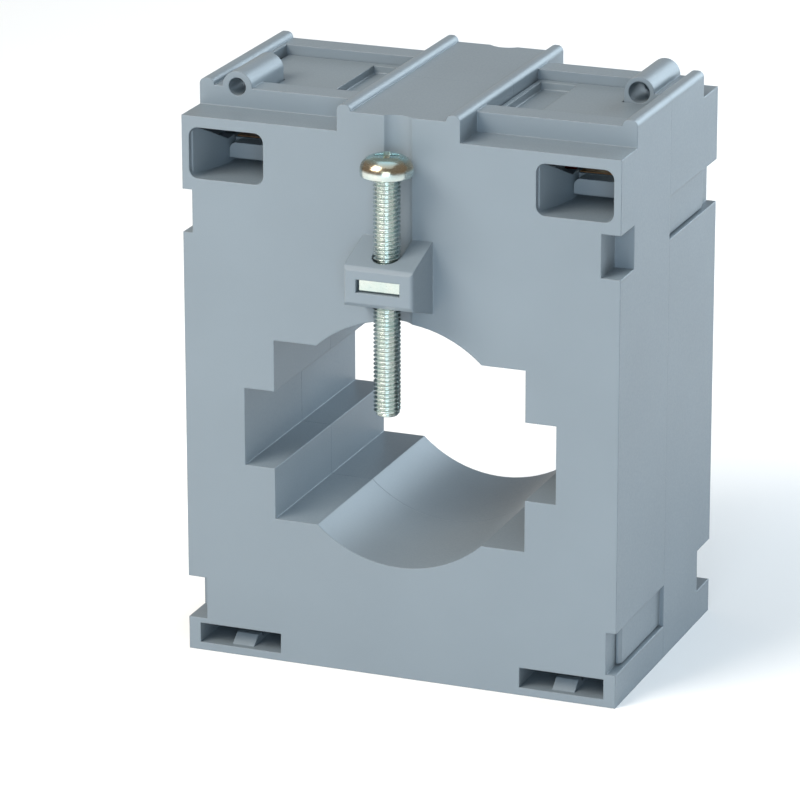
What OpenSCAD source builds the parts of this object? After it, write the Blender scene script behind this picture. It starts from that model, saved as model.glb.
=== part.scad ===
// Window-type current transformer in a moulded two-part case, for a flat busbar or a round cable.
// X runs along the width, Y runs through the window, Z is up. The origin is the middle of the base.
// Both half shells, both lids and both clamp sets are the same parts, turned half way round Z.

/* [Case] */
// Width of the case
body_w = 85; // [80:0.5:110]
// Depth of the case over both half shells
body_d = 54.6; // [46:0.2:80]
// Height of the case up to its shoulders
shoulder_h = 104.2; // [100:0.2:125]
// Wall of the case
wall = 1.8; // [1.4:0.1:2.2]
// Gap between pieces that slide into each other
fit = 0.1; // [0.05:0.01:0.15]

/* [Window] */
// Height of the window's axis above the base
axis_h = 45.6; // [44:0.1:48]
// Height of the slot for the widest busbar
bar_slot_h = 15; // [10:0.2:17]
// Height of the slot for the thick busbar
thick_slot_h = 34.8; // [30:0.2:36]
// Distance of the thick slot's corners inside the circle through the wide slot's corners
slot_step = 1.1; // [0:0.1:3]
// Diameter of the round opening for a cable
cable_d = 47.5; // [44:0.5:50]
// Wall of the tube that lines the window
tube_wall = 1.5; // [1.2:0.1:1.8]

/* [Hood] */
// Distance of the hood's end walls behind the case's faces
hood_inset = 8.5; // [6:0.1:10]
// Height of the hood over the shoulders
hood_rise = 3.8; // [3.4:0.1:6]
// Thickness of the hood's end walls
hood_wall = 5.2; // [4:0.1:7]
// Width of the raised block in the middle
block_w = 23.8; // [20:0.2:28]
// Width of each rail on the raised block
block_rail_w = 2.7; // [2:0.1:4]
// Width of the rail along each outer side
side_rail_w = 2.9; // [2:0.1:3.4]
// Height of the rails over the hood
rail_rise = 1.2; // [0.6:0.1:2]
// Width of the solid rim at each outer side of the hood
side_rim = 3.7; // [3.2:0.1:5]

/* [Seal barrels] */
// Distance of each barrel's axis from the case's side
barrel_side = 7.5; // [6.5:0.1:9]
// Outside diameter of a barrel
barrel_d = 5.8; // [5:0.1:6.4]
// Bore of a barrel at its outer end
barrel_bore = 3.4; // [2.5:0.1:4]
// Bore of a barrel at its inner end
barrel_mouth = 4.1; // [3.6:0.1:4.6]
// Distance of each barrel's inner end from the parting line
barrel_end = 3.8; // [2:0.1:8]

/* [Lids] */
// Depth of a lid's top below the hood's rim
lid_drop = 1.9; // [1.2:0.1:2.4]
// Thickness of a lid
lid_t = 2; // [1.6:0.1:2.4]
// Gap round a lid
lid_gap = 0.3; // [0.2:0.05:0.5]
// Width of a lid's finger pocket
finger_w = 7; // [5:0.5:9]
// Depth of a lid's finger pocket
finger_depth = 1.5; // [1:0.1:1.6]
// Distance of the finger pocket's ends from the bay's walls
finger_rim = 2; // [1.4:0.1:4]
// Height of the skirt under a lid
skirt_h = 2.4; // [1.6:0.1:3]
// Wall of the skirt and of the finger pocket
skirt_t = 1.1; // [0.9:0.1:1.4]

/* [Terminals] */
// Distance of each wire entry's middle from the case's side
entry_side = 8.75; // [8.6:0.05:10]
// Width of a wire entry at the face
entry_w = 14.7; // [11:0.1:15]
// Height of a wire entry at the face
entry_h = 9.7; // [8:0.1:10]
// Height of the entry's middle below the shoulders
entry_drop = 6.95; // [6.5:0.05:8]
// Corner radius of a wire entry
entry_r = 1.8; // [1:0.1:3]
// Depth of the entry's funnel
funnel_l = 12; // [10:0.5:12.5]
// Width of the entry behind its funnel
throat_w = 9.4; // [7:0.1:10.5]
// Drop of the funnel's side walls from the face to the throat
funnel_drop = 5; // [3:0.1:6]
// Width of a terminal bar
bar_w = 9.6; // [8:0.1:10]
// Height of a terminal bar's top above the sill of its wire entry
bar_rise = 4.2; // [3.8:0.1:5]
// Distance of a terminal bar's ends from the walls of its chamber
bar_rim = 1; // [0.8:0.1:2]
// Thickness of a terminal bar
bar_t = 1.8; // [1.5:0.1:2.2]
// Length of a terminal bar's ends, bent down over its carrier
bar_bend = 1.6; // [1:0.1:2]
// Distance of each terminal screw from the parting line
clamp_y = 4.6; // [4.2:0.1:6]
// Diameter of a terminal screw
clamp_screw_d = 4; // [3:0.5:4]
// Length of a terminal screw under its head
clamp_screw_l = 6; // [4:0.5:6]
// Head diameter of a terminal screw
clamp_head_d = 7.6; // [6:0.1:7.8]
// Head height of a terminal screw
clamp_head_h = 2.4; // [1.8:0.1:2.6]
// Thickness of a clamp plate
plate_t = 1.1; // [0.8:0.1:1.4]

/* [Busbar clamp] */
// Diameter of a busbar screw
screw_d = 5; // [4:0.5:5]
// Length of a busbar screw under its head
screw_l = 45; // [30:1:55]
// Head diameter of a busbar screw
head_d = 9.8; // [8:0.1:10]
// Head height of a busbar screw
head_h = 3.9; // [3:0.1:4.5]
// Distance of a screw's axis from the case's face
screw_out = 5.55; // [5.1:0.05:6.5]
// Height of the head's underside above the top of the nut holder
screw_up = 13.2; // [1:0.2:20]
// Width across a square nut
nut_w = 8; // [7:0.1:8.4]
// Thickness of a square nut
nut_t = 2.2; // [2:0.1:3]
// Width of a nut holder
holder_w = 13.4; // [12:0.1:16]
// Reach of a nut holder from the case's face
holder_reach = 10.2; // [9.9:0.1:13]
// Height of a nut holder's front
holder_h = 7.6; // [6:0.1:9]
// Growth of a nut holder's height towards the case, above and below
holder_flare = 3; // [1:0.1:4]
// Distance of a nut holder's middle above the cable opening
holder_up = 9.15; // [8:0.05:11]
// Width of the screw's guide groove
groove_w = 5.4; // [5.2:0.1:6]
// Depth of the guide groove in the face
groove_depth = 1.1; // [0.6:0.1:1.4]

/* [Side latches] */
// Height of a side recess
recess_h = 8.2; // [6:0.1:9]
// Depth of a side recess
recess_t = 1.9; // [1.6:0.1:2.4]
// Height of the lower recesses above the base
recess_low = 6.4; // [6:0.1:8]
// Distance of the upper recesses below the shoulders
recess_drop = 22.2; // [20:0.1:26]
// Thickness of a latch tongue
tongue_t = 1; // [0.8:0.1:1.2]
// Distance of a latch tongue's end from the other shell's face
tongue_rim = 5.3; // [5:0.1:12]
// Reach of a latch tongue's barb
barb = 0.5; // [0.3:0.05:0.6]
// Gap round a latch tongue
tongue_gap = 0.3; // [0.2:0.05:0.5]
// Depth of a corner notch across the width
corner_t = 3.7; // [3:0.1:4.5]
// Length of a corner notch along the side
corner_l = 7.4; // [5:0.1:9]

/* [Dowels] */
// Diameter of the dowels on the parting line
dowel_d = 2; // [1.6:0.1:2.2]
// Length of a dowel
dowel_l = 3; // [2:0.1:5]

/* [Foot pockets] */
// Distance of each pocket's middle from the case's side
pocket_side = 10.5; // [10.4:0.1:13]
// Width of a pocket for a mounting foot
pocket_w = 16.4; // [14:0.1:16.6]
// Height of a pocket
pocket_h = 3.9; // [3:0.1:4]
// Floor under a pocket
pocket_floor = 1.5; // [1.2:0.1:1.8]
// Length of a pocket
pocket_l = 18; // [12:0.5:20]
// Width of the spring in a pocket
spring_w = 4.4; // [3:0.1:5]
// Height of the spring's bump
spring_h = 1.7; // [1:0.1:2.2]

/* [Core and winding] */
// Clearance between the coil and the case
coil_gap = 0.25; // [0.2:0.05:0.3]
// Radial build of the coil, from the window tube to the case
coil_build = 6.85; // [6.4:0.05:8]
// Radial build of the winding on each side of the core
winding_t = 1.1; // [0.8:0.1:1.3]
// Thickness of the core's insulating caps
cap_t = 0.5; // [0.4:0.05:0.7]
// Thickness of the tape over the winding
tape_t = 0.25; // [0.2:0.05:0.4]
// Gap between the layers round the core
layer_gap = 0.05; // [0.03:0.01:0.1]
// Diameter of a lead from the winding
lead_d = 1.6; // [1:0.1:2]
// Length of a lead above the deck, up to its terminal bar
lead_run = 4.95; // [3:0.05:6]
// Distance of each lead from the parting line
lead_y = 5; // [4:0.1:7]

/* [Hidden] */
$fn = 64;
small = 0.01;
half_w = body_w / 2;
half_d = body_d / 2;
inner_x = half_w - wall;
inner_y = half_d - wall;

// Levels from the base up
hood_z = shoulder_h + hood_rise;
rail_z = hood_z + rail_rise;
entry_x = half_w - entry_side;
entry_z = shoulder_h - entry_drop;
sill_z = entry_z - entry_h / 2;
entry_top = entry_z + entry_h / 2;
deck_z = sill_z - wall;
floor_z = deck_z - wall;
lid_top = hood_z - lid_drop;
lid_z = lid_top - lid_t;
bar_z = sill_z + bar_rise;

// Hood and its two bays
hood_y = half_d - hood_inset;
bay_y = hood_y - hood_wall;
bay_in = block_w / 2;
bay_out = half_w - side_rim;
end_ledge = 1.6;
inner_ledge = 1;
outer_ledge = 0.6;
chamber_in = bay_in + inner_ledge;
chamber_out = bay_out - outer_ledge;
chamber_y = bay_y - end_ledge;
bar_l = 2 * (chamber_y - bar_rim);

// Seal barrel: it lies on a shelf whose underside is level with the lid's
barrel_x = half_w - barrel_side;
barrel_z = hood_z + 0.1;
barrel_l = hood_y - barrel_end;
shelf_in = barrel_x - barrel_d / 2;

// Coil: it fills the case from side to side, and the window tube's corners reach into its bore
coil_out = min(inner_x, axis_h - wall, floor_z - axis_h) - coil_gap;
coil_in = coil_out - coil_build;
coil_h = 2 * (inner_y - coil_gap);

// Width of a slot of height h whose tube has its corners on a circle of radius r
function slot_w(r, h) = 2 * (sqrt(r * r - pow(h / 2 + tube_wall, 2)) - tube_wall);
tube_r = coil_in - coil_gap;
bar_slot_w = slot_w(tube_r, bar_slot_h);
thick_slot_w = slot_w(tube_r - slot_step, thick_slot_h);

// Levels on the case's outside
holder_z = axis_h + cable_d / 2 + holder_up;
recess_high = shoulder_h - recess_drop;
pocket_x = half_w - pocket_side;
pocket_top = pocket_floor + pocket_h + 1.5;
pocket_in = pocket_x - pocket_w / 2 - 1.5;

// Clamp set
holder_top = holder_z + holder_h / 2;
screw_y = half_d + screw_out;
head_z = holder_top + holder_flare + screw_up;
nut_slot_w = nut_w + 0.5;
nut_slot_t = nut_t + 0.3;
nut_z = holder_z - nut_t / 2 + 0.2;

// Terminal clamp and lead
clamp_head_z = bar_z + plate_t;
lead_x = entry_x - bar_w / 2 - lead_run;

// Latches, the solid corners behind them, and the dowels' places as [x, z]
tongue_x = half_w - recess_t + fit;
tongue_l = half_d - tongue_rim;
fill_x = half_w - corner_t - 1.5;
dowels = [[pocket_x, pocket_top / 2], [half_w - side_rim / 2, shoulder_h + 0.6]];

case_grey = [0.585, 0.636, 0.680];
lid_grey = [0.570, 0.620, 0.665];
zinc = [0.80, 0.82, 0.80];
brass = [0.76, 0.62, 0.32];
copper = [0.72, 0.42, 0.24];

// Puts a front or left part at the back or the right by a half turn about Z.
module turned(turn) {
    rotate([0, 0, turn ? 180 : 0]) children();
}

// Extrudes a profile drawn in X and Z along Y, from y0 to y1.
module along_y(y0, y1) {
    translate([0, y1, 0]) rotate([90, 0, 0]) linear_extrude(height = y1 - y0) children();
}

module rounded_rect(w, h, r) {
    union() {
        square([w - 2 * r, h], center = true);
        square([w, h - 2 * r], center = true);
        for (sx = [-1, 1], sz = [-1, 1])
            translate([sx * (w / 2 - r), sz * (h / 2 - r)]) circle(r = r);
    }
}

// Outline of the window, grown on every side by `grow`.
module window_outline(grow) {
    translate([0, axis_h]) {
        square([bar_slot_w + 2 * grow, bar_slot_h + 2 * grow], center = true);
        square([thick_slot_w + 2 * grow, thick_slot_h + 2 * grow], center = true);
        circle(d = cable_d + 2 * grow, $fn = 128);
    }
}

// Outline of the room for the winding, with solid corners behind the notches and foot pockets.
module winding_room() {
    low_top = recess_low + recess_h + 1.4;
    high_low = recess_high - 1.4;
    for (s = [-1, 1]) scale([s, 1]) polygon([
        [-small, wall], [pocket_in, wall], [pocket_in, pocket_top], [fill_x, pocket_top],
        [fill_x, low_top], [inner_x, low_top], [inner_x, high_low], [fill_x, high_low],
        [fill_x, floor_z], [-small, floor_z]]);
}

// A rail with a rounded top that runs along Y.
module rail(x, w, y0, y1) {
    r = min(rail_rise, w / 2) * 0.95;
    along_y(y0, y1) translate([x, 0]) {
        translate([-w / 2, hood_z - 1]) square([w, rail_z - r - hood_z + 1]);
        translate([-w / 2 + r, hood_z - 1]) square([w - 2 * r, rail_rise + 1]);
        for (s = [-1, 1]) translate([s * (w / 2 - r), rail_z - r]) circle(r = r);
    }
}

// Nut holder on the front face: a block with flared root, seen from the side as a trapezium.
module holder_block() {
    r = 0.8;
    front = -half_d - holder_reach;
    intersection() {
        translate([-holder_w / 2, 0, 0]) rotate([90, 0, 90]) linear_extrude(height = holder_w) polygon([
            [front, holder_z - holder_h / 2 + r], [front + r, holder_z - holder_h / 2],
            [-half_d + small, holder_z - holder_h / 2 - holder_flare],
            [-half_d + small, holder_top + holder_flare],
            [front + r, holder_top], [front, holder_top - r]]);
        translate([0, 0, holder_z - holder_h]) linear_extrude(height = 2 * holder_h) union() {
            translate([-holder_w / 2, front + r]) square([holder_w, holder_reach]);
            translate([-holder_w / 2 + r, front]) square([holder_w - 2 * r, holder_reach]);
            for (s = [-1, 1]) translate([s * (holder_w / 2 - r), front + r]) circle(r = r);
        }
    }
}

// Room in the holder for the nut, open to the front, and for the screw, open to the case.
module holder_cuts() {
    slot_z = nut_z - (nut_slot_t - nut_t) / 2;
    translate([-nut_slot_w / 2, -half_d - holder_reach - 1, slot_z])
        cube([nut_slot_w, holder_reach - screw_out + nut_w / 2 + 1.3, nut_slot_t]);
    translate([0, -screw_y, holder_z - 2 * holder_h]) cylinder(d = groove_w, h = 4 * holder_h);
    translate([-groove_w / 2, -screw_y, holder_z - 2 * holder_h])
        cube([groove_w, screw_out + small, 4 * holder_h]);
}

// Guide groove down the face, from the top of the raised block to the window.
module guide_groove() {
    r = (groove_w * groove_w / 4 + groove_depth * groove_depth) / (2 * groove_depth);
    translate([0, -half_d - r + groove_depth, axis_h + cable_d / 2 - 2])
        cylinder(r = r, h = rail_z);
}

// One wire entry: a rounded window in the face and a funnel behind it. The funnel's side walls
// close in on the throat and drop towards it, so that the room above them is open.
module wire_entry() {
    funnel_end = -half_d + funnel_l;
    face_t = 1.2;
    along_y(-half_d - 1, -half_d + face_t) translate([0, entry_z])
        rounded_rect(entry_w, entry_h, entry_r);
    intersection() {
        along_y(-half_d, -chamber_y + 1) translate([0, entry_z])
            rounded_rect(entry_w, entry_h, entry_r);
        union() {
            translate([0, 0, sill_z]) linear_extrude(height = entry_h) polygon([
                [-entry_w / 2, -half_d], [entry_w / 2, -half_d], [throat_w / 2, funnel_end],
                [throat_w / 2, 0], [-throat_w / 2, 0], [-throat_w / 2, funnel_end]]);
            translate([-entry_w / 2, 0, 0]) rotate([90, 0, 90]) linear_extrude(height = entry_w)
                polygon([[-half_d + face_t, entry_top], [funnel_end, entry_top - funnel_drop],
                         [0, entry_top - funnel_drop], [0, entry_top]]);
        }
    }
}

// Recess for the other shell's latch tongue, in this shell's right or left side.
module side_recess(side, z) {
    x0 = half_w - recess_t;
    scale([side, 1, 1]) {
        translate([x0, -half_d - 1, z]) cube([recess_t + 1, half_d + 1 + small, recess_h]);
        // catch for the barb
        translate([x0 - barb - 0.2, -tongue_l + 0.4, z + 1.4]) cube([1, 3, recess_h - 2.8]);
    }
}

module corner_notch(side, z) {
    scale([side, 1, 1]) translate([half_w - corner_t, -half_d - 1, z])
        cube([corner_t + 1, corner_l + 1, recess_h]);
}

// Latch tongue that reaches over the parting line into the other shell's recess.
module latch_tongue(side, z) {
    end = tongue_l;
    scale([side, 1, 1]) translate([0, 0, z + tongue_gap])
        linear_extrude(height = recess_h - 2 * tongue_gap) polygon([
            [tongue_x, -small], [tongue_x + tongue_t, -small], [tongue_x + tongue_t, end - 0.6],
            [tongue_x + tongue_t - 0.6, end], [tongue_x, end]]);
    scale([side, 1, 1]) translate([0, 0, z + 1.7])
        linear_extrude(height = recess_h - 3.4) polygon([
            [tongue_x + small, end - 2.8], [tongue_x + small, end - 0.6], [tongue_x - barb, end - 2.8]]);
}

// Pocket for a mounting foot, with its spring tongue on the floor.
module foot_pocket() {
    difference() {
        translate([-pocket_w / 2, -half_d - 1, pocket_floor]) cube([pocket_w, pocket_l + 1, pocket_h]);
        translate([-spring_w / 2, 0, pocket_floor]) rotate([90, 0, 90]) linear_extrude(height = spring_w)
            polygon([[-half_d + 1.2, 0], [-half_d + 3.4, spring_h], [-half_d + 5, spring_h],
                     [-half_d + 5.4, 0.9], [-half_d + pocket_l + 1, 0.9], [-half_d + pocket_l + 1, -1],
                     [-half_d + 1.2, -1]]);
    }
}

// Everything above the shoulders that belongs to the front half: hood, raised block, rails, barrel.
module hood_solid() {
    translate([-half_w, -hood_y, shoulder_h - small]) cube([body_w, hood_y, hood_rise + small]);
    translate([-block_w / 2, -half_d, shoulder_h - small]) cube([block_w, half_d, hood_rise + small]);
    for (s = [-1, 1]) {
        rail(s * (block_w / 2 - block_rail_w / 2), block_rail_w, -half_d, 0);
        rail(s * (half_w - side_rail_w / 2), side_rail_w, -hood_y, 0);
    }
}

// The bays under the lids, the terminal chambers and the room under the raised block.
module hood_cuts() {
    for (s = [-1, 1]) scale([s, 1, 1]) {
        translate([bay_in, -bay_y, lid_z]) cube([bay_out - bay_in, bay_y + 1, rail_z]);
        translate([chamber_in, -chamber_y, deck_z])
            cube([chamber_out - chamber_in, chamber_y + 1, lid_z - deck_z + small]);
        translate([chamber_in, -chamber_y, deck_z])
            cube([inner_x - chamber_in, chamber_y + 1, shoulder_h - wall - deck_z]);
    }
    translate([-bay_in + wall, -half_d + 2 * wall, deck_z])
        cube([block_w - 2 * wall, half_d, hood_z - wall - deck_z]);
}

// Seal barrel over the left bay, with the shelf that carries it.
module barrel_solid() {
    translate([-barrel_x, -barrel_end, barrel_z]) rotate([90, 0, 0])
        cylinder(d = barrel_d, h = barrel_l);
    translate([-bay_out - small, -bay_y - small, lid_z])
        cube([bay_out - shelf_in + small, bay_y - barrel_end, barrel_z - lid_z]);
}

// Front half shell. The rear one is the same moulding.
module half_shell() {
    color(case_grey) difference() {
        union() {
            difference() {
                union() {
                    difference() {
                        union() {
                            translate([-half_w, -half_d, 0]) cube([body_w, half_d, shoulder_h]);
                            hood_solid();
                        }
                        guide_groove();
                    }
                    holder_block();
                }
                difference() {
                    along_y(-inner_y, 1) winding_room();
                    along_y(-half_d, 2) window_outline(tube_wall);
                }
                hood_cuts();
                holder_cuts();
                for (s = [-1, 1]) {
                    translate([s * entry_x, 0, 0]) wire_entry();
                    translate([s * pocket_x, 0, 0]) foot_pocket();
                }
                side_recess(1, recess_low);
                side_recess(-1, recess_high);
                corner_notch(1, recess_high);
                corner_notch(-1, recess_low);
                // sockets for the other shell's dowels
                for (at = dowels) translate([-at.x, small, at.y]) rotate([90, 0, 0])
                    cylinder(d = dowel_d + 2 * fit, h = dowel_l + 0.4);
                // passage for a lead from the winding to its terminal
                translate([lead_x, -lead_y, floor_z - 1]) cylinder(d = lead_d + 0.6, h = wall + 2);
            }
            barrel_solid();
            latch_tongue(1, recess_high);
            latch_tongue(-1, recess_low);
            for (at = dowels) translate([at.x, dowel_l, at.y]) rotate([90, 0, 0])
                cylinder(d1 = dowel_d - 0.4, d2 = dowel_d, h = dowel_l + small);
        }
        along_y(-half_d - 1, 1) window_outline(0);
        translate([-barrel_x, 1 - barrel_end, barrel_z]) rotate([90, 0, 0]) {
            cylinder(d = barrel_bore, h = barrel_l + 2);
            cylinder(d = barrel_mouth, h = barrel_l * 0.6 + 1);
        }
    }
}

module front_shell() { half_shell(); }
module rear_shell() { turned(true) half_shell(); }

// Lid of the left bay: a plate with a finger pocket, a skirt and a notch round the seal barrel.
module lid(turn) {
    x_in = bay_in + lid_gap;
    x_out = bay_out - lid_gap;
    y_end = bay_y - lid_gap;
    skirt_in = chamber_in + lid_gap;
    skirt_out = entry_x - clamp_head_d / 2 - lid_gap;
    skirt_y = chamber_y - lid_gap;
    pocket_z = lid_top - finger_depth;
    color(lid_grey) turned(turn) difference() {
        union() {
            translate([-x_out, -y_end, lid_z]) cube([x_out - x_in, 2 * y_end, lid_t]);
            // tray under the finger pocket
            translate([-skirt_in - finger_w - skirt_t, -skirt_y, pocket_z - 1])
                cube([finger_w + skirt_t, 2 * skirt_y, 1.5]);
            // skirt
            difference() {
                translate([-skirt_out, -skirt_y, lid_z - skirt_h])
                    cube([skirt_out - skirt_in, 2 * skirt_y, skirt_h + small]);
                translate([-skirt_out + skirt_t, -skirt_y + skirt_t, lid_z - skirt_h - 1])
                    cube([skirt_out - skirt_in - 2 * skirt_t, 2 * (skirt_y - skirt_t), skirt_h + 1]);
            }
        }
        translate([-skirt_in - finger_w, -bay_y + finger_rim, pocket_z])
            cube([finger_w, 2 * (bay_y - finger_rim), lid_t]);
        translate([-half_w, -half_d, lid_z - skirt_h - 1])
            cube([half_w - shelf_in + lid_gap, half_d - barrel_end + lid_gap, hood_z]);
    }
}

module lid_left() { lid(false); }
module lid_right() { lid(true); }

// A ring about the window's axis that fills the coil's envelope less `inset` on every side.
module coil_ring(inset) {
    l = coil_h - 2 * inset;
    translate([0, l / 2, axis_h]) rotate([90, 0, 0]) difference() {
        cylinder(r = coil_out - inset, h = l, $fn = 128);
        translate([0, 0, -1]) cylinder(r = coil_in + inset, h = l + 2, $fn = 128);
    }
}

// Insets of the layers under the tape
winding_o = tape_t + layer_gap;
cap_o = winding_o + winding_t + layer_gap;
core_o = cap_o + cap_t + layer_gap;

// Ring core, wound from steel strip
module core() {
    color([0.42, 0.44, 0.46]) coil_ring(core_o);
}

// Insulating cap over one half of the core
module core_cap(turn) {
    color([0.16, 0.17, 0.18]) turned(turn) difference() {
        coil_ring(cap_o);
        coil_ring(cap_o + cap_t);
        translate([-body_w, -layer_gap / 2, 0]) cube([2 * body_w, body_d, 2 * axis_h]);
    }
}

module core_cap_front() { core_cap(false); }
module core_cap_rear() { core_cap(true); }

// Secondary winding round the capped core
module winding() {
    color(copper) difference() {
        coil_ring(winding_o);
        coil_ring(winding_o + winding_t);
    }
}

// Insulating tape over the winding, with a slot where each lead comes out
module winding_tape() {
    color([0.88, 0.80, 0.52]) difference() {
        coil_ring(0);
        coil_ring(tape_t);
        for (s = [-1, 1]) translate([s * lead_x, -s * lead_y, axis_h])
            cylinder(d = lead_d + 0.4, h = coil_out);
    }
}

// Moulded carrier of the left terminal, with a well under the screw and a nose in each wire entry
module carrier(turn) {
    w = bar_w + 2.4;
    nose_w = throat_w - 4 * fit;
    nose_l = half_d - funnel_l;
    nose_z = sill_z + 1;
    nose_r = 1.4;
    color([0.56, 0.61, 0.65]) turned(turn) translate([-entry_x, 0, 0]) difference() {
        union() {
            translate([-w / 2, -chamber_y + fit, deck_z])
                cube([w, 2 * (chamber_y - fit), bar_z - 0.1 - deck_z]);
            along_y(-nose_l, nose_l) {
                translate([-nose_w / 2, nose_z]) square([nose_w, bar_z - 0.2 - nose_r - nose_z]);
                translate([-nose_w / 2 + nose_r, nose_z]) square([nose_w - 2 * nose_r, bar_z - 0.2 - nose_z]);
                for (s = [-1, 1]) translate([s * (nose_w / 2 - nose_r), bar_z - 0.2 - nose_r])
                    circle(r = nose_r);
            }
        }
        translate([-bar_w / 2 - fit, -bar_l / 2 - fit, bar_z - bar_t])
            cube([bar_w + 2 * fit, bar_l + 2 * fit, bar_t + 1]);
        for (s = [-1, 1]) translate([0, s * (bar_l - bar_t) / 2, bar_z - bar_t - bar_bend / 2 + 0.5 - fit])
            cube([bar_w + 2 * fit, bar_t + 2 * fit, bar_bend + 1 + 2 * fit], center = true);
        translate([0, clamp_y, deck_z + 0.8]) cylinder(d = clamp_screw_d + 1.2, h = bar_z);
        // way for the lead to the bar
        translate([bar_w / 2 - 1, lead_y - lead_d / 2 - 0.2, bar_z - bar_t - 0.3])
            cube([w, lead_d + 0.4, bar_t + 1]);
    }
}

module carrier_left() { carrier(false); }
module carrier_right() { carrier(true); }

// Left terminal bar with its ends bent down, tapped for its screw
module terminal_bar(turn) {
    color(brass) turned(turn) translate([-entry_x, 0, 0]) difference() {
        union() {
            translate([-bar_w / 2, -bar_l / 2, bar_z - bar_t]) cube([bar_w, bar_l, bar_t]);
            for (s = [-1, 1]) translate([0, s * (bar_l - bar_t) / 2, bar_z - (bar_t + bar_bend) / 2])
                cube([bar_w, bar_t, bar_t + bar_bend], center = true);
        }
        translate([0, clamp_y, bar_z - bar_t - 1]) cylinder(d = clamp_screw_d + 0.1, h = bar_t + 2);
    }
}

module terminal_bar_left() { terminal_bar(false); }
module terminal_bar_right() { terminal_bar(true); }

// Clamp plate that rides under the terminal screw's head, with its two edges turned up
module clamp_plate(turn) {
    w = bar_w - 0.4;
    l = 8;
    color(zinc) turned(turn) translate([-entry_x, clamp_y, bar_z]) difference() {
        union() {
            translate([-w / 2, -l / 2, 0]) cube([w, l, plate_t]);
            for (s = [-1, 1]) translate([s * (w / 2 - 0.3), 0, plate_t])
                cube([0.6, l, 1.2], center = true);
        }
        translate([0, 0, -1]) cylinder(d = clamp_screw_d + 0.2, h = plate_t + 2);
    }
}

module clamp_plate_left() { clamp_plate(false); }
module clamp_plate_right() { clamp_plate(true); }

// Pan head with a cross recess, on a shank that ends in a chamfer. The underside is at z = 0.
module machine_screw(d, l, dk, k) {
    rim = k * 0.3;
    top_r = dk * 0.16;
    arm_l = dk * 0.48;
    arm_w = dk * 0.11;
    color(zinc) difference() {
        rotate_extrude() polygon(concat(
            [[0, -l], [d / 2 - 0.5, -l], [d / 2, -l + 0.6], [d / 2, 0], [dk / 2, 0], [dk / 2, rim]],
            [for (a = [15:15:75]) [top_r + (dk / 2 - top_r) * cos(a), rim + (k - rim) * sin(a)]],
            [[top_r, k], [0, k]]));
        for (a = [20, 110]) rotate([0, 0, a])
            translate([-arm_l / 2, -arm_w / 2, k * 0.45]) cube([arm_l, arm_w, k]);
    }
}

module terminal_screw(turn) {
    turned(turn) translate([-entry_x, clamp_y, clamp_head_z])
        machine_screw(clamp_screw_d, clamp_screw_l, clamp_head_d, clamp_head_h);
}

module terminal_screw_left() { terminal_screw(false); }
module terminal_screw_right() { terminal_screw(true); }

// Insulated lead from the winding up to the inner edge of the left terminal bar
module lead(turn) {
    r = lead_d / 2;
    start_z = axis_h + sqrt(pow(coil_out - winding_o, 2) - pow(lead_x - r, 2)) + layer_gap;
    bend_z = bar_z - bar_t / 2;
    color([0.75, 0.18, 0.12]) turned(turn) translate([0, lead_y, 0]) {
        translate([-lead_x, 0, start_z]) cylinder(r = r, h = bend_z - start_z);
        translate([-lead_x, 0, bend_z]) sphere(r = r);
        translate([-lead_x, 0, bend_z]) rotate([0, -90, 0])
            cylinder(r = r, h = entry_x - bar_w / 2 - lead_x - fit / 2);
    }
}

module lead_left() { lead(false); }
module lead_right() { lead(true); }

// Busbar screw in front of the window
module busbar_screw(turn) {
    turned(turn) translate([0, -screw_y, head_z]) machine_screw(screw_d, screw_l, head_d, head_h);
}

module busbar_screw_front() { busbar_screw(false); }
module busbar_screw_rear() { busbar_screw(true); }

// Square nut in its holder
module square_nut(turn) {
    color(zinc) turned(turn) translate([0, -screw_y, nut_z]) difference() {
        translate([-nut_w / 2, -nut_w / 2, 0]) cube([nut_w, nut_w, nut_t]);
        translate([0, 0, -1]) cylinder(d = screw_d + 0.1, h = nut_t + 2);
    }
}

module square_nut_front() { square_nut(false); }
module square_nut_rear() { square_nut(true); }

front_shell();
rear_shell();
lid_left();
lid_right();
core();
core_cap_front();
core_cap_rear();
winding();
winding_tape();
carrier_left();
carrier_right();
terminal_bar_left();
terminal_bar_right();
clamp_plate_left();
clamp_plate_right();
terminal_screw_left();
terminal_screw_right();
lead_left();
lead_right();
busbar_screw_front();
busbar_screw_rear();
square_nut_front();
square_nut_rear();
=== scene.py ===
"""Looks of a window-type current transformer in a two-part moulded case."""

import math

import bmesh
import bpy
from mathutils import Euler, Matrix, Vector

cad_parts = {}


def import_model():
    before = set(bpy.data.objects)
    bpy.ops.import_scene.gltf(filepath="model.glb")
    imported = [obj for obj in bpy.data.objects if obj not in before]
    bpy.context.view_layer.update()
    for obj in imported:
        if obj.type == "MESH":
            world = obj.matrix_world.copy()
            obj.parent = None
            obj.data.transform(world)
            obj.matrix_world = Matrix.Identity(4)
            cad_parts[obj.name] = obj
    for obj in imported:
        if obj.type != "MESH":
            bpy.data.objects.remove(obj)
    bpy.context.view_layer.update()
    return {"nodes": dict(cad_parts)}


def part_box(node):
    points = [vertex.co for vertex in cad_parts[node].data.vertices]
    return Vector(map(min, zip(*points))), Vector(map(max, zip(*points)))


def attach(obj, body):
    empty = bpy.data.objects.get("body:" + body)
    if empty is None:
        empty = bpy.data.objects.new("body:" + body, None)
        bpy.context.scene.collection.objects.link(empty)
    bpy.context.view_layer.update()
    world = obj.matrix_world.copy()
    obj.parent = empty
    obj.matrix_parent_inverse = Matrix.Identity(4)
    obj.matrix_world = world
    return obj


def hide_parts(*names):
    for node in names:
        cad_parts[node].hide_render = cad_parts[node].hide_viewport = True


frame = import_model()
MM = 0.001

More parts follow.
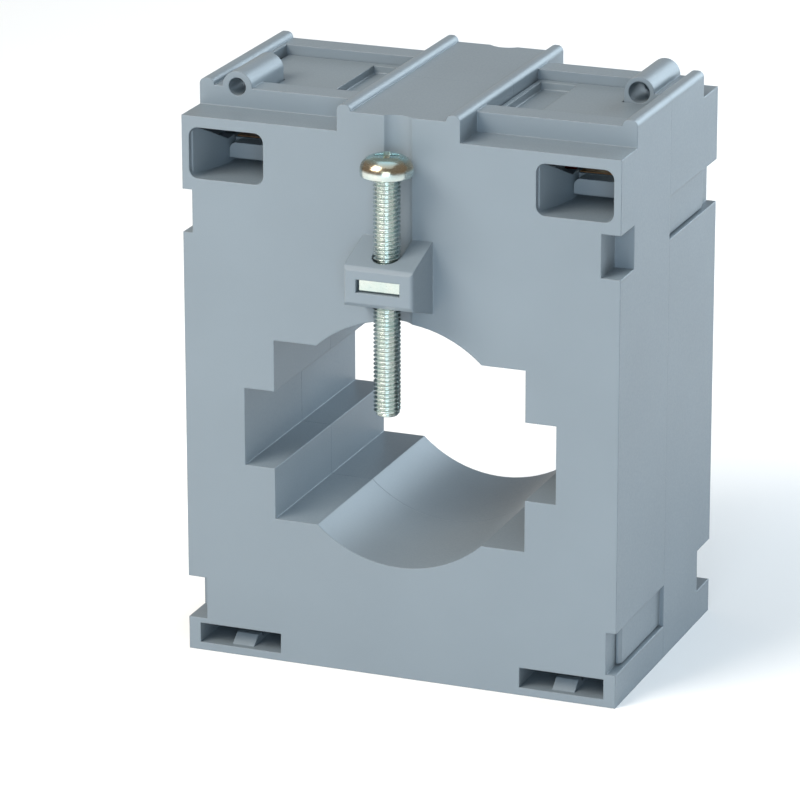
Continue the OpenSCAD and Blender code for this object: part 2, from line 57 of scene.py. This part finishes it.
CASE = (0.181, 0.224, 0.258)
LID = (0.178, 0.219, 0.249)
# painted light: the case grey made lighter, so the shaded interior seen through the windows looks brighter
CARRIER_GREY_PAINTED_LIGHT = (0.215, 0.255, 0.285)
ZINC = (0.60, 0.65, 0.62)
BRASS = (0.50, 0.27, 0.13)
COPPER = (0.60, 0.25, 0.12)
CAP_BLACK = (0.022, 0.024, 0.027)
LEAD_RED = (0.36, 0.02, 0.012)
FILM_CREAM = (0.62, 0.50, 0.24)
ZINC_CLOUD = (0.50, 0.60, 0.58)

WELD = 2e-6             # vertices closer than this are one
THREAD_DEPTH = 0.6134   # of the pitch, for a standard outside thread
M5_SCREW = (5 * MM, 0.8 * MM, 3.9 * MM)    # diameter, pitch, height of the head
M4_SCREW = (4 * MM, 0.7 * MM, 2.4 * MM)
HEAD_SHY = 0.02 * MM    # by which a head stays within the CAD screw's


# ---------------------------------------------------------------- materials

def new_material(name):
    """A material with its node tree, its Principled shader and its Object coordinates."""
    material = bpy.data.materials.new(name)
    material.use_nodes = True
    nodes, links = material.node_tree.nodes, material.node_tree.links
    shader = nodes["Principled BSDF"]
    place = nodes.new("ShaderNodeTexCoord").outputs["Object"]
    return material, nodes, links, shader, place


def noise(nodes, links, place, scale, detail=3.0, rough=0.5, stretch=None):
    """A noise texture's value; `stretch` scales the coordinates along each axis."""
    if stretch:
        mapping = nodes.new("ShaderNodeMapping")
        mapping.inputs["Scale"].default_value = stretch
        links.new(place, mapping.inputs["Vector"])
        place = mapping.outputs["Vector"]
    texture = nodes.new("ShaderNodeTexNoise")
    texture.inputs["Scale"].default_value = scale
    texture.inputs["Detail"].default_value = detail
    texture.inputs["Roughness"].default_value = rough
    links.new(place, texture.inputs["Vector"])
    return texture.outputs["Fac"]


def spread(nodes, links, value, low, high):
    """The value of a noise, spread between two limits."""
    ranged = nodes.new("ShaderNodeMapRange")
    ranged.inputs["From Min"].default_value = 0.3
    ranged.inputs["From Max"].default_value = 0.7
    ranged.inputs["To Min"].default_value = low
    ranged.inputs["To Max"].default_value = high
    links.new(value, ranged.inputs["Value"])
    return ranged.outputs["Result"]


def tinted(nodes, links, value, first, second):
    """A colour that runs from the first to the second with a noise's value."""
    ramp = nodes.new("ShaderNodeValToRGB")
    ramp.color_ramp.elements[0].position = 0.3
    ramp.color_ramp.elements[0].color = (*first, 1)
    ramp.color_ramp.elements[1].position = 0.7
    ramp.color_ramp.elements[1].color = (*second, 1)
    links.new(value, ramp.inputs["Fac"])
    return ramp.outputs["Color"]


def bumped(nodes, links, shader, heights, edge=0.0):
    """Stacks bumps on the shader's normal: pairs of a height and its depth in metres.

    `edge` is the radius in metres to which hard edges look rounded.
    """
    normal = None
    if edge:
        rounded = nodes.new("ShaderNodeBevel")
        rounded.samples = 6
        rounded.inputs["Radius"].default_value = edge
        normal = rounded.outputs["Normal"]
    for height, depth in heights:
        bump = nodes.new("ShaderNodeBump")
        bump.inputs["Strength"].default_value = 1.0
        bump.inputs["Distance"].default_value = depth
        links.new(height, bump.inputs["Height"])
        if normal:
            links.new(normal, bump.inputs["Normal"])
        normal = bump.outputs["Normal"]
    links.new(normal, shader.inputs["Normal"])


def shade(colour, factor):
    return tuple(min(1.0, c * factor) for c in colour)


def moulded_plastic(name, colour, gloss=0.42, edge=0.3 * MM):
    """Moulded plastic with a fine spark-eroded grain, faint flow clouds and an uneven sheen."""
    material, nodes, links, shader, place = new_material(name)
    clouds = noise(nodes, links, place, 45, 2)
    grain = noise(nodes, links, place, 2600, 2, 0.6)
    waves = noise(nodes, links, place, 110, 1)
    links.new(tinted(nodes, links, clouds, shade(colour, 0.975), shade(colour, 1.025)),
              shader.inputs["Base Color"])
    links.new(spread(nodes, links, grain, gloss - 0.04, gloss + 0.05), shader.inputs["Roughness"])
    shader.inputs["Specular IOR Level"].default_value = 0.45
    bumped(nodes, links, shader, [(waves, 0.00003), (grain, 0.000004)], edge)
    return material


def plated_metal(name, colour, other, gloss=0.24):
    """Bright plated metal: faint colour play of the passivation, fine scratches and dull spots."""
    material, nodes, links, shader, place = new_material(name)
    clouds = noise(nodes, links, place, 420, 2)
    scratches = noise(nodes, links, place, 900, 2, 0.7, stretch=(1, 1, 7))
    links.new(tinted(nodes, links, clouds, colour, other), shader.inputs["Base Color"])
    links.new(spread(nodes, links, scratches, gloss - 0.07, gloss + 0.1), shader.inputs["Roughness"])
    shader.inputs["Metallic"].default_value = 1.0
    bumped(nodes, links, shader, [(scratches, 0.000006)], 0.15 * MM)
    return material


def reflection_banded_head(name, low, high):
    """Plated metal with a painted reflection: a band of brown and then blue, painted between two heights,
    stands in for the room reflected in the head.
    """
    material = plated_metal(name, ZINC, ZINC_CLOUD, 0.2)
    nodes, links = material.node_tree.nodes, material.node_tree.links
    shader = nodes["Principled BSDF"]
    plain = shader.inputs["Base Color"].links[0].from_socket
    place = nodes.new("ShaderNodeTexCoord").outputs["Object"]
    height = nodes.new("ShaderNodeSeparateXYZ")
    links.new(place, height.inputs["Vector"])
    rise = nodes.new("ShaderNodeMapRange")
    rise.inputs["From Min"].default_value = low
    rise.inputs["From Max"].default_value = high
    links.new(height.outputs["Z"], rise.inputs["Value"])
    ramp = nodes.new("ShaderNodeValToRGB")
    # painted reflection: plain below, a brown band, then blue towards the top of the head
    reflection_stops = ((0.34, (1, 1, 1)), (0.46, (0.62, 0.42, 0.26)),
             (0.72, (0.66, 0.50, 0.36)), (0.9, (0.66, 0.86, 0.88)))
    while len(ramp.color_ramp.elements) < len(reflection_stops):
        ramp.color_ramp.elements.new(0.5)
    for element, (position, colour) in zip(ramp.color_ramp.elements, reflection_stops):
        element.position = position
        element.color = (*colour, 1)
    links.new(rise.outputs["Result"], ramp.inputs["Fac"])
    painted_reflection_band = nodes.new("ShaderNodeMix")
    painted_reflection_band.data_type = "RGBA"
    painted_reflection_band.blend_type = "MULTIPLY"
    painted_reflection_band.inputs["Factor"].default_value = 0.85
    links.new(plain, painted_reflection_band.inputs["A"])
    links.new(ramp.outputs["Color"], painted_reflection_band.inputs["B"])
    links.new(painted_reflection_band.outputs["Result"], shader.inputs["Base Color"])
    return material


def steel_strip(name):
    """Edges of a wound steel strip: fine rings round the window's axis."""
    material, nodes, links, shader, place = new_material(name)
    mapping = nodes.new("ShaderNodeMapping")
    mapping.inputs["Location"].default_value = (0, 0, -AXIS_Z)
    mapping.inputs["Scale"].default_value = (1, 0, 1)
    rings = nodes.new("ShaderNodeTexWave")
    rings.wave_type = "RINGS"
    rings.rings_direction = "SPHERICAL"
    rings.inputs["Scale"].default_value = 550
    links.new(place, mapping.inputs["Vector"])
    links.new(mapping.outputs["Vector"], rings.inputs["Vector"])
    links.new(tinted(nodes, links, rings.outputs["Fac"], (0.16, 0.17, 0.19), (0.34, 0.35, 0.36)),
              shader.inputs["Base Color"])
    shader.inputs["Metallic"].default_value = 1.0
    shader.inputs["Roughness"].default_value = 0.35
    bumped(nodes, links, shader, [(rings.outputs["Fac"], 0.00003)])
    return material


def wrapped_film(name, colour):
    """Cream film wound over the coil in overlapping, slightly uneven turns."""
    material, nodes, links, shader, place = new_material(name)
    folds = noise(nodes, links, place, 160, 3)
    grain = noise(nodes, links, place, 1500, 2)
    links.new(tinted(nodes, links, folds, shade(colour, 0.85), shade(colour, 1.08)),
              shader.inputs["Base Color"])
    links.new(spread(nodes, links, grain, 0.3, 0.45), shader.inputs["Roughness"])
    bumped(nodes, links, shader, [(folds, 0.0001), (grain, 0.00001)])
    return material


# ---------------------------------------------------------------- meshes

def put(name, mesh, body, material, slot, *replaced):
    """Adds a mesh to the scene as a piece that rides on a body and stands for CAD nodes."""
    piece = bpy.data.objects.new(name, mesh)
    bpy.context.scene.collection.objects.link(piece)
    mesh.materials.clear()
    mesh.materials.append(material)
    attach(piece, body)
    if replaced:
        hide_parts(*replaced)
    return piece


def smooth(mesh, angle=35):
    mesh.shade_smooth()
    mesh.set_sharp_from_angle(angle=math.radians(angle))


def rounded_copy(node, radius, segments=3, angle=30):
    """A copy of a CAD node's mesh with its long hard edges rounded by the same radius.

    Edges that end in short ones, round small bores and slots, stay sharp: their material's
    bevel softens them.
    """
    mesh = frame["nodes"][node].data.copy()
    for layer in list(mesh.attributes):
        if layer.name in ("custom_normal", "sharp_edge", "sharp_face"):
            mesh.attributes.remove(layer)
    bm = bmesh.new()
    bm.from_mesh(mesh)
    bmesh.ops.remove_doubles(bm, verts=bm.verts, dist=WELD)
    bmesh.ops.dissolve_limit(bm, angle_limit=math.radians(0.6), verts=bm.verts, edges=bm.edges)
    room = 2.6 * radius
    roomy = {v for v in bm.verts
             if len(v.link_edges) == 3 and all(e.calc_length() > room for e in v.link_edges)}
    hard = [e for e in bm.edges if e.is_manifold and e.calc_face_angle(0) > math.radians(angle)
            and e.verts[0] in roomy and e.verts[1] in roomy]
    bmesh.ops.bevel(bm, geom=hard, offset=radius, offset_type="OFFSET", segments=segments,
                    profile=0.5, affect="EDGES", clamp_overlap=True, miter_outer="ARC")
    bm.to_mesh(mesh)
    bm.free()
    smooth(mesh, 40)
    holder = bpy.data.objects.new("holder", mesh)
    bpy.context.scene.collection.objects.link(holder)
    flat = holder.modifiers.new("flat", "WEIGHTED_NORMAL")
    flat.weight = 100
    flat.keep_sharp = True
    graph = bpy.context.evaluated_depsgraph_get()
    made = bpy.data.meshes.new_from_object(holder.evaluated_get(graph), depsgraph=graph)
    bpy.data.objects.remove(holder)
    made.name = node
    return made


def revolved(profile, steps, origin):
    """A closed surface of revolution about Z from (radius, height) points."""
    bm = bmesh.new()
    rings = []
    for radius, height in profile:
        if radius == 0:
            rings.append([bm.verts.new((0, 0, height))])
            continue
        turn = [2 * math.pi * i / steps for i in range(steps)]
        rings.append([bm.verts.new((radius * math.cos(a), radius * math.sin(a), height)) for a in turn])
    for low, high in zip(rings, rings[1:]):
        for i in range(steps):
            j = (i + 1) % steps
            corners = [low[i % len(low)], low[j % len(low)], high[j % len(high)], high[i % len(high)]]
            unique = [v for k, v in enumerate(corners) if v not in corners[:k]]
            if len(unique) > 2:
                bm.faces.new(unique)
    bmesh.ops.translate(bm, verts=bm.verts, vec=origin)
    bmesh.ops.recalc_face_normals(bm, faces=bm.faces)
    return bm


def threaded_shank(diameter, pitch, z_low, z_high, steps=40):
    """A shank with a real helical thread and a chamfered tip, from z_low up to z_high."""
    crest = diameter / 2
    root = crest - THREAD_DEPTH * pitch
    outline = [(0.0, root), (0.14, root), (0.47, crest), (0.60, crest), (0.93, root)]
    tip = 0.9 * pitch
    bm = bmesh.new()
    turns = math.ceil((z_high - z_low) / pitch) + 2
    rows = [(t + share, radius) for t in range(turns) for share, radius in outline]
    columns = []
    for i in range(steps + 1):
        angle = 2 * math.pi * i / steps
        column = []
        for place, radius in rows:
            z = z_low + (place - 1 + i / steps) * pitch
            z = min(max(z, z_low), z_high)
            held = min(radius, root - 0.1 * pitch + (z - z_low) * (crest - root + 0.1 * pitch) / tip)
            column.append(bm.verts.new((held * math.cos(angle), held * math.sin(angle), z)))
        columns.append(column)
    for left, right in zip(columns, columns[1:]):
        for k in range(len(rows) - 1):
            bm.faces.new((left[k], right[k], right[k + 1], left[k + 1]))
    bmesh.ops.remove_doubles(bm, verts=bm.verts, dist=WELD)
    bmesh.ops.dissolve_degenerate(bm, dist=1e-7, edges=bm.edges)
    bmesh.ops.holes_fill(bm, edges=[e for e in bm.edges if e.is_boundary], sides=0)
    bmesh.ops.recalc_face_normals(bm, faces=bm.faces)
    return bm


def to_mesh(bm, name, angle=35):
    mesh = bpy.data.meshes.new(name)
    bm.to_mesh(mesh)
    bm.free()
    smooth(mesh, angle)
    return mesh


def cut(mesh, cutters):
    """The mesh less the cutters, which are used up."""
    tools = []
    holder = bpy.data.objects.new("holder", mesh)
    bpy.context.scene.collection.objects.link(holder)
    for cutter in cutters:
        tool = bpy.data.objects.new("tool", cutter)
        bpy.context.scene.collection.objects.link(tool)
        tools.append(tool)
        step = holder.modifiers.new("cut", "BOOLEAN")
        step.object = tool
        step.operation = "DIFFERENCE"
        step.solver = "EXACT"
    graph = bpy.context.evaluated_depsgraph_get()
    made = bpy.data.meshes.new_from_object(holder.evaluated_get(graph), depsgraph=graph)
    for used in tools + [holder]:
        bpy.data.objects.remove(used)
    return made


def blade(length, width, bottom, top, taper):
    """A wedge that cuts one arm of a cross recess: longer and wider at the top."""
    bm = bmesh.new()
    corners = []
    for z, grow in ((bottom, taper), (top, 1.0)):
        for sx, sy in ((-1, -1), (1, -1), (1, 1), (-1, 1)):
            corners.append(bm.verts.new((sx * length / 2 * grow, sy * width / 2 * (0.5 + grow / 2), z)))
    bm.faces.new(corners[3::-1])
    bm.faces.new(corners[4:])
    for i in range(4):
        j = (i + 1) % 4
        bm.faces.new((corners[i], corners[j], corners[4 + j], corners[4 + i]))
    return bm


def pan_head(diameter, height, turn, name):
    """A domed pan head on z = 0 with a tapered cross recess."""
    r, k = diameter / 2, height
    profile = [(0, 0), (r * 0.93, 0), (r * 0.985, k * 0.05), (r, k * 0.13), (r, k * 0.3)]
    flat = r * 0.32
    for step in range(1, 11):
        a = math.radians(90 * step / 10)
        profile.append((flat + (r - flat) * math.cos(a), k * (0.3 + 0.7 * math.sin(a))))
    profile += [(0, k)]
    head = revolved(profile, 64, Vector())
    mesh = to_mesh(head, name)
    cutters = []
    for angle in (0, 90):
        arm = blade(diameter * 0.52, diameter * 0.12, k * 0.42, k * 1.15, 0.45)
        bmesh.ops.rotate(arm, verts=arm.verts, matrix=Matrix.Rotation(math.radians(angle + turn), 3, "Z"))
        cutters.append(to_mesh(arm, "arm"))
    made = cut(mesh, cutters)
    made.name = name
    return made


def joined(name, meshes, angle=35):
    """One mesh from several."""
    bm = bmesh.new()
    for mesh in meshes:
        bm.from_mesh(mesh)
    return to_mesh(bm, name, angle)


def machine_screw(node, body, diameter, pitch, head_h, material, turn):
    """A threaded screw with a pan head in place of a plain CAD screw."""
    low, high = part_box(node)
    x, y = (low.x + high.x) / 2, (low.y + high.y) / 2
    under = high.z - head_h
    shank = to_mesh(threaded_shank(diameter, pitch, low.z, under), node + "_thread", 20)
    head = pan_head(high.x - low.x - HEAD_SHY, head_h, turn, node + "_head")
    head.transform(Matrix.Translation((0, 0, under)))
    mesh = joined(node + "_threaded", [shank, head], 28)
    mesh.transform(Matrix.Translation((x, y, 0)))
    return put(node + "_threaded", mesh, body, material, "zinc_plate", node)


# ---------------------------------------------------------------- the object

AXIS_Z = (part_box("core")[0].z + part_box("core")[1].z) / 2

case_plastic = moulded_plastic("case_plastic", CASE)
lid_plastic = moulded_plastic("lid_plastic", LID, 0.45)
# carrier plastic in the lightened grey, painted light for the window interiors
carrier_plastic_painted_light = moulded_plastic("carrier_plastic_painted_light", CARRIER_GREY_PAINTED_LIGHT, 0.4)
cap_plastic = moulded_plastic("cap_plastic", CAP_BLACK, 0.5)
lead_plastic = moulded_plastic("lead_plastic", LEAD_RED, 0.35)
zinc = plated_metal("zinc", ZINC, ZINC_CLOUD, 0.2)
brass = plated_metal("brass", BRASS, (0.55, 0.31, 0.15), 0.34)
copper = plated_metal("copper", COPPER, (0.52, 0.20, 0.09), 0.3)
core_steel = steel_strip("core_steel")
film = wrapped_film("film", FILM_CREAM)

ROUNDED = [
    ("front_shell", "case", case_plastic, "case_grey", 0.4 * MM),
    ("rear_shell", "case", case_plastic, "case_grey", 0.4 * MM),
    ("lid_left", "lid_l", lid_plastic, "lid_grey", 0.3 * MM),
    ("lid_right", "lid_r", lid_plastic, "lid_grey", 0.3 * MM),
    ("carrier_left", "case", carrier_plastic_painted_light, "carrier_grey", 0.2 * MM),
    ("carrier_right", "case", carrier_plastic_painted_light, "carrier_grey", 0.2 * MM),
    ("terminal_bar_left", "case", brass, "terminal_brass", 0.2 * MM),
    ("terminal_bar_right", "case", brass, "terminal_brass", 0.2 * MM),
    ("clamp_plate_left", "clamp_l", zinc, "zinc_plate", 0.12 * MM),
    ("clamp_plate_right", "clamp_r", zinc, "zinc_plate", 0.12 * MM),
    ("square_nut_front", "case", zinc, "zinc_plate", 0.25 * MM),
    ("square_nut_rear", "case", zinc, "zinc_plate", 0.25 * MM),
]
for node, body, material, slot, radius in ROUNDED:
    put(node + "_rounded", rounded_copy(node, radius), body, material, slot, node)

head_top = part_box("busbar_screw_front")[1].z
# head metal with a painted reflection band round the dome
head_painted_reflection = reflection_banded_head("head_painted_reflection", head_top - M5_SCREW[2], head_top)

SCREWS = [
    ("busbar_screw_front", "busbar_screw_f", M5_SCREW, head_painted_reflection, 20),
    ("busbar_screw_rear", "busbar_screw_r", M5_SCREW, head_painted_reflection, 65),
    ("terminal_screw_left", "clamp_l", M4_SCREW, zinc, 35),
    ("terminal_screw_right", "clamp_r", M4_SCREW, zinc, 80),
]
for node, body, size, material, turn in SCREWS:
    machine_screw(node, body, *size, material, turn)

KEPT = {"core": core_steel, "core_cap_front": cap_plastic, "core_cap_rear": cap_plastic,
        "winding": copper, "winding_tape": film, "lead_left": lead_plastic, "lead_right": lead_plastic}
for node, material in KEPT.items():
    for place in frame["nodes"][node].material_slots:
        place.material = material


# ---------------------------------------------------------------- floor, light and camera

def floor():
    bm = bmesh.new()
    size = 3.0
    corners = [bm.verts.new((sx * size, sy * size, 0)) for sx, sy in ((-1, -1), (1, -1), (1, 1), (-1, 1))]
    bm.faces.new(corners)
    mesh = to_mesh(bm, "floor")
    material, nodes, links, shader, place = new_material("pale_floor")
    links.new(tinted(nodes, links, noise(nodes, links, place, 6, 2), (0.95, 0.95, 0.95), (0.98, 0.98, 0.98)),
              shader.inputs["Base Color"])
    shader.inputs["Roughness"].default_value = 0.8
    shader.inputs["Specular IOR Level"].default_value = 0.2
    mesh.materials.append(material)
    plane = bpy.data.objects.new("floor", mesh)
    bpy.context.scene.collection.objects.link(plane)


def area_light(name, azimuth, elevation, distance, size, colour, power):
    """A square soft light that looks at the object's middle from the given direction."""
    lamp = bpy.data.lights.new(name, "AREA")
    lamp.size = size
    lamp.color = colour
    lamp.energy = power
    holder = bpy.data.objects.new(name, lamp)
    a, e = math.radians(azimuth), math.radians(elevation)
    back = Vector((math.sin(a) * math.cos(e), -math.cos(a) * math.cos(e), math.sin(e)))
    holder.location = Vector((0, 0, 0.05)) + back * distance
    holder.rotation_euler = back.to_track_quat("Z", "Y").to_euler()
    bpy.context.scene.collection.objects.link(holder)


def world(colour, strength):
    sky = bpy.data.worlds.new("studio")
    sky.use_nodes = True
    sky.node_tree.nodes["Background"].inputs["Color"].default_value = (*colour, 1)
    sky.node_tree.nodes["Background"].inputs["Strength"].default_value = strength
    bpy.context.scene.world = sky


def camera(azimuth, elevation, roll, place, lens):
    """A long-lens camera that looks along a direction given by azimuth and elevation."""
    data = bpy.data.cameras.new("camera")
    data.sensor_width = 36
    data.lens = lens
    data.clip_start = 0.01
    data.clip_end = 10
    eye = bpy.data.objects.new("camera", data)
    turn = Euler((math.radians(90 - elevation), 0, math.radians(azimuth)), "XYZ")
    eye.rotation_euler = (turn.to_matrix() @ Matrix.Rotation(math.radians(roll), 3, "Z")).to_euler()
    eye.location = place
    bpy.context.scene.collection.objects.link(eye)
    bpy.context.scene.camera = eye


floor()
area_light("key", -35, 42, 0.9, 0.5, (1.0, 0.92, 0.83), 8.0)
area_light("front", 18, 12, 1.2, 0.6, (0.70, 0.86, 1.0), 6.8)
area_light("top", 10, 82, 0.9, 0.8, (0.70, 0.85, 1.0), 2.2)
area_light("back", 155, 18, 0.9, 0.6, (0.72, 0.88, 1.0), 7.6)
world((1.0, 0.90, 0.80), 0.36)
camera(21.547, 18.445, -0.095, Vector((316.81, -828.89, 341.95)) * MM, 223.9)
bpy.context.scene.view_settings.view_transform = "Standard"
